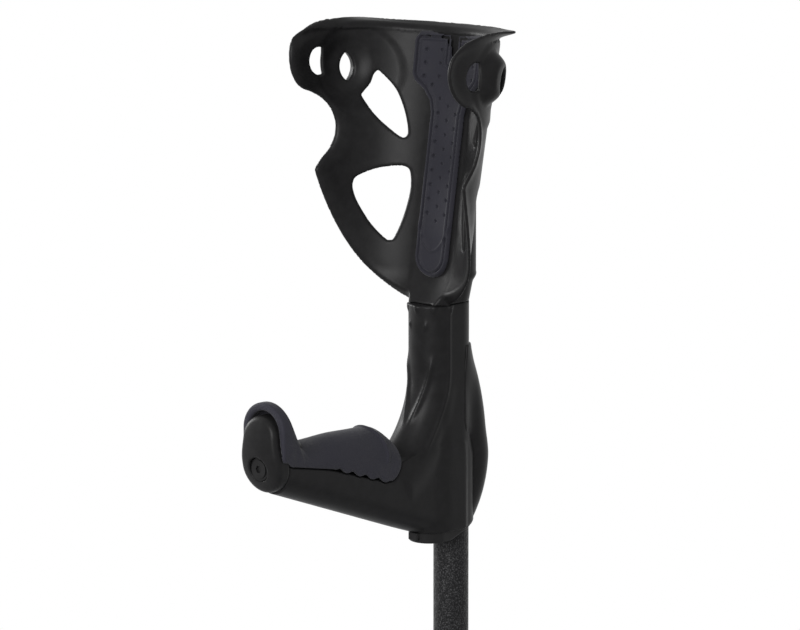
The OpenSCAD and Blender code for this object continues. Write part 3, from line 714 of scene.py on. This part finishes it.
def cone(x, y, z):
    """Height along the leaning cone's axis, which passes cone_y in front of the tube, and distance from that axis."""
    t = (y + cone_y) * math.sin(lean) + z * math.cos(lean)
    return t, np.hypot(x, (y + cone_y) * math.cos(lean) - z * math.sin(lean))


def disc(y, z, circle):
    """Distance to a round bar that lies across the crutch, from its circle in side view."""
    cy, cz, r = circle
    return np.hypot(y - cy, z - cz) - r


def within(distance, reach, run):
    """1 up to reach, then smoothly down to 0 over run."""
    return 1 - smooth((distance - reach) / run)


def lobe_along(s, y):
    """Distance along a lobe, rearwards, in plan: the lobe runs 25 degrees off the middle plane."""
    return (y + lobe_y) * lobe_cos - (s - lobe_s) * lobe_sin


def cuff_wall(x, y, z, side):
    """Distance to the shell: a leaning cone's wall, rolled out at its free edge, and above it the flared lip, an
    arc of radius curl with a straight end that thins to half. Gives the distance to its inside too."""
    s = np.abs(x)
    t, r = cone(x, y, z)
    # how far the wall stands out round the rear hole of each lobe, and how far it rolls at its free edge
    along = lobe_along(s, y)
    boss = np.sqrt((along + 2.4) ** 2 + (z - 139.4) ** 2)
    aside = smooth(s / 30)
    dish = 1.4 * within(np.hypot(along - 5, z - 136), 24, 6) * aside
    out = np.maximum(8.0 * within(boss, 8.5, 11) * aside, 0.8 * dish)
    dish = dish + 2.4 * within(boss, 8, 10) * aside
    roll = (1.6 + 1.2 * smooth((z - 112) / 14)) * np.clip(1 + side / 8, 0, 1) ** 2
    roll = roll * smooth((z - 2) / 20) * smooth((163 - z) / 6)
    inner = soft_min(cone_in + cone_rise * t, 39 + (t + 12) * 0.678, 6) + np.maximum(dish, roll)
    outer = cone_out + cone_rise * t + np.maximum(out, roll)
    wall = soft_max(r - outer, (inner - r) * 0.9, 0.8)
    # the lip: q is the height above the wall's end, p the distance outside its middle
    q = z * 0.9984 + (y + cone_y) * 0.0558 - 162.5 - 0.6 * mound(y + 20, 16)
    p = r - (65.6 + cone_rise * q)
    angle = np.radians(76 - 56 * smooth((-y - 12) / 32) - 24 * smooth((y + 14) / 18))
    turn = np.clip(np.arctan2(q, curl - p), 0, None)
    arc = np.abs(np.hypot(curl - p, q) - curl)
    sy, cy = np.sin(angle), np.cos(angle)
    length = (5.6 - curl * sy) / cy
    ap, aq = p - curl * (1 - cy), q - curl * sy
    go = np.clip(ap * sy + aq * cy, 0, length)
    flat = np.hypot(ap - go * sy, aq - go * cy) - rim_half + 0.8 * go / length
    f = np.where(q < 0, wall, np.where(turn < angle, arc - rim_half, flat))
    return f, np.where(q < 0, (inner - r) * 0.9, -9.0)


def cuff_form(x, y, z):
    """The shell within its side outline, with sleeve and foot, less the windows, holes, pocket and channel."""
    s = np.abs(x)
    # the outline in side view: the long lower edge, the lobe, the waist and the rim's rise to the rear
    free = np.maximum(disc(y, z, free_edge), np.maximum(-62.3 - y, z - 100))
    side = soft_min(free, np.maximum(-54 - y, 65 - z), 1)
    side = soft_min(side, disc(y, z, lobe_edge), 6)
    side = soft_max(side, -disc(y, z, waist), 2)
    side = soft_max(side, -waist_corner(y, z), 2)
    rim = np.hypot(np.minimum(y + 34, 0), np.maximum(z - 94.5, 0)) - 73 - 8 * smooth((y + 34) / 24)
    side = soft_max(side, rim, 3)
    f, inside = cuff_wall(x, y, z, side)
    f = soft_max(f, np.maximum(side, -5 - z), 1.8)
    column = stadium(x, y, 1.3, -16.3, 14.5)
    column = soft_max(column, np.maximum(sleeve_side(y, z), 9 - z), 3)
    foot = soft_max(stadium(x, y, neck_rear + 0.3 * (z + 5), neck_front, neck_r), slab(z, -5, 10), 0.3)
    f = soft_min(f, column, 4)
    f = soft_min(f, foot, 3)
    f = soft_max(f, inside, 1.2)
    # the windows, seen square to the wing
    u = -s * math.cos(side_turn) + y * math.sin(side_turn)
    f = soft_max(f, -upper_window(u, z), 1.7)
    f = soft_max(f, -lower_window(u, z), 1.7)
    # each lobe's two holes: round with a flat side in front, and the space two circles share behind
    f = soft_max(f, -np.maximum(disc(y, z, front_hole), slab(y, -70, -47.4)), 1.6)
    lens = np.hypot(np.abs(lobe_along(s, y)) + 6.6, z - 137) - 11
    lens = np.maximum(lens, np.abs((s - lobe_s) * lobe_cos + (y + lobe_y) * lobe_sin) - 16)
    f = soft_max(f, -lens, 1.6)
    # the channel behind the sleeve with the lock's row of holes, and the post's pocket
    channel = np.maximum(np.maximum(slab(x, -5.5, 5.5), slab(y, 7.7, 30)), slab(z, 2, 54))
    f = soft_max(f, -channel, 0.8)
    for step in range(lock_heights):
        f = np.maximum(f, -np.maximum(np.hypot(x, z - 48 + lock_pitch * step) - lock_hole_r, 3 - y))
    pocket = np.maximum(slab(x, -post_half_x, post_half_x), slab(y, -post_half_y, post_half_y))
    return np.maximum(f, -np.maximum(pocket, z - 64))


cuff = skin("cuff_shell", cuff_form, (-88, -82, -8), (88, 30, 178), 1.15, cuff_zero, black_nylon)
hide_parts("cuff")
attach(cuff, "cuff_unit")

# The cuff pad: a soft slate-grey moulded strip with a hammer-shaped head, laid inside
# the shell; it has a raised double border and small pits.
# the cuff pad's slate is painted darker, at 0.88 of its colour: painted shade
cuff_slate_painted_darker = slate("cuff_slate_painted_darker", 1900.0, 0.00012, 0.88)
strip_half, strip_foot = 13.8, 24
side_pits, middle_pits, head_pits, shoulder_pits = 119, 114.7, 156.5, 127
pit_pitch, head_pitch, pit_r = 8.7, 8.1, 0.95
pad_outline = outline(
    [(-13.8, 110), (-15.5, 117), (-20, 123.5), (-26, 128.5), (-28, 133), (-28.5, 155), (-25.5, 159.6),
     (-1.4, 159.6), (-1.4, 142), (1.8, 142), (1.8, 159.6), (25.5, 159.6), (28.5, 155), (28, 133),
     (26, 128.5), (20, 123.5), (15.5, 117), (13.8, 110)]
    + [(strip_half * math.cos(a), strip_foot + strip_half * math.sin(a)) for a in np.linspace(0, -math.pi, 25)]
)


def pad_form(x, y, z):
    """A layer about 3 mm deep inside the wall within the pad's outline, spreading towards the wall: its face rises in
    two beads along the border and in one across its foot, and has pits in staggered columns."""
    t, r = cone(x, y, z)
    depth = cone_in + cone_rise * t - r
    edge = -pad_outline(x, z)
    top = 2.5 + 0.8 * mound(edge - 1.9, 0.8) + 0.6 * mound(edge - 4.8, 0.7)
    top = top - 1.1 * mound(edge - 3.4, 0.5)
    across = (z - 27 - 0.1 * x * x) / np.hypot(1, 0.2 * x)
    top = top + 0.8 * mound(across, 0.9) * (edge > 0)
    # the nearest pit: the strip's side and middle columns, the head's four columns, and three in the shoulder
    s = np.abs(x)
    k = np.clip(np.round((side_pits - z) / pit_pitch), 0, 8)
    m = np.clip(np.round((middle_pits - z) / pit_pitch), 0, 8)
    h = np.clip(np.round((head_pits - z) / head_pitch), 0, 3)
    pit = np.minimum(np.hypot(s - 7, z - side_pits + pit_pitch * k), np.hypot(s, z - middle_pits + pit_pitch * m))
    pit = np.minimum(pit, np.hypot(np.minimum(np.abs(s - 9.3), np.abs(s - 19.5)), z - head_pits + head_pitch * h))
    pit = np.minimum(pit, np.hypot(np.minimum(np.abs(s - 13.5), s), z - shoulder_pits))
    top = top - 1.5 * np.exp(-((pit / pit_r) ** 4))
    f = soft_max(depth - top, (0.45 * depth - edge) * 0.91, 2.0)
    f = soft_max(f, 0.2 - depth, 0.2)
    return soft_max(f, y - 20, 0.5)


pad = skin("cuff_cushion", pad_form, (-31, -45, 8), (31, 2, 163), 0.55, cuff_zero, cuff_slate_painted_darker)
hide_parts("cuff_pad")
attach(pad, "cuff_unit")

# The stand: a plain pale round floor that keeps to the ferrule's sole, a white
# background, and soft light from four square lamps: a strong one in front, and
# weaker ones by the camera, to the left and to the right.
floor_r, floor_corners = 1.1, 96
u = np.linspace(0, 2 * np.pi, floor_corners + 1)[:-1]
floor_mesh = bpy.data.meshes.new("floor")
floor_mesh.from_pydata(
    np.c_[floor_r * np.cos(u), floor_r * np.sin(u), 0 * u].tolist(), [], [list(range(floor_corners))]
)
floor = bpy.data.objects.new("floor", floor_mesh)
bpy.context.scene.collection.objects.link(floor)
pale, tree, shader, where = finish_of("pale_floor", (0.78, 0.78, 0.79), 0.6, 0.3)
fleck = noise(tree, 30, 3, 0.5, where)
tinted(tree, shader, fleck.outputs["Fac"], (0.77, 0.77, 0.78), (0.8, 0.8, 0.8))
floor_mesh.materials.append(pale)
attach(floor, "leg")

world = bpy.data.worlds.new("studio")
bpy.context.scene.world = world
world.use_nodes = True
tree = world.node_tree
tree.nodes.clear()
rays = tree.nodes.new("ShaderNodeLightPath")
seen = tree.nodes.new("ShaderNodeMath")
seen_too = tree.nodes.new("ShaderNodeMath")
seen.operation = seen_too.operation = "MAXIMUM"
white = tree.nodes.new("ShaderNodeBackground")
white.inputs["Color"].default_value = (1, 1, 1, 1)
white.inputs["Strength"].default_value = 1.0
soft = tree.nodes.new("ShaderNodeBackground")
soft.inputs["Color"].default_value = (0.95, 0.97, 1.0, 1)
soft.inputs["Strength"].default_value = 0.2
pick = tree.nodes.new("ShaderNodeMixShader")
last = tree.nodes.new("ShaderNodeOutputWorld")
wire(
    tree,
    (rays.outputs["Is Camera Ray"], seen.inputs[0]), (rays.outputs["Is Glossy Ray"], seen.inputs[1]),
    (seen.outputs[0], seen_too.inputs[0]), (rays.outputs["Is Transmission Ray"], seen_too.inputs[1]),
    (seen_too.outputs[0], pick.inputs[0]), (soft.outputs[0], pick.inputs[1]), (white.outputs[0], pick.inputs[2]),
    (pick.outputs[0], last.inputs["Surface"]),
)


def lamp(name, place, target, size, power):
    """A square soft lamp that faces a point."""
    data = bpy.data.lights.new(name, "AREA")
    data.size = size
    data.energy = power
    o = bpy.data.objects.new(name, data)
    bpy.context.scene.collection.objects.link(o)
    o.location = place
    o.rotation_mode = "QUATERNION"
    o.rotation_quaternion = (Vector(target) - Vector(place)).to_track_quat("-Z", "Y")


handle_height = (0, 0, 0.95)
lamp("lamp_front", (0.8, -2.3, 1.8), handle_height, 1.3, 70)
lamp("lamp_camera", (1.3, -2.0, 2.4), handle_height, 0.9, 4)
lamp("lamp_left", (-2.5, -0.5, 1.5), handle_height, 1.2, 44)
lamp("lamp_right", (2.3, -0.6, 1.9), handle_height, 0.9, 2)

bpy.context.scene.view_settings.view_transform = "Standard"
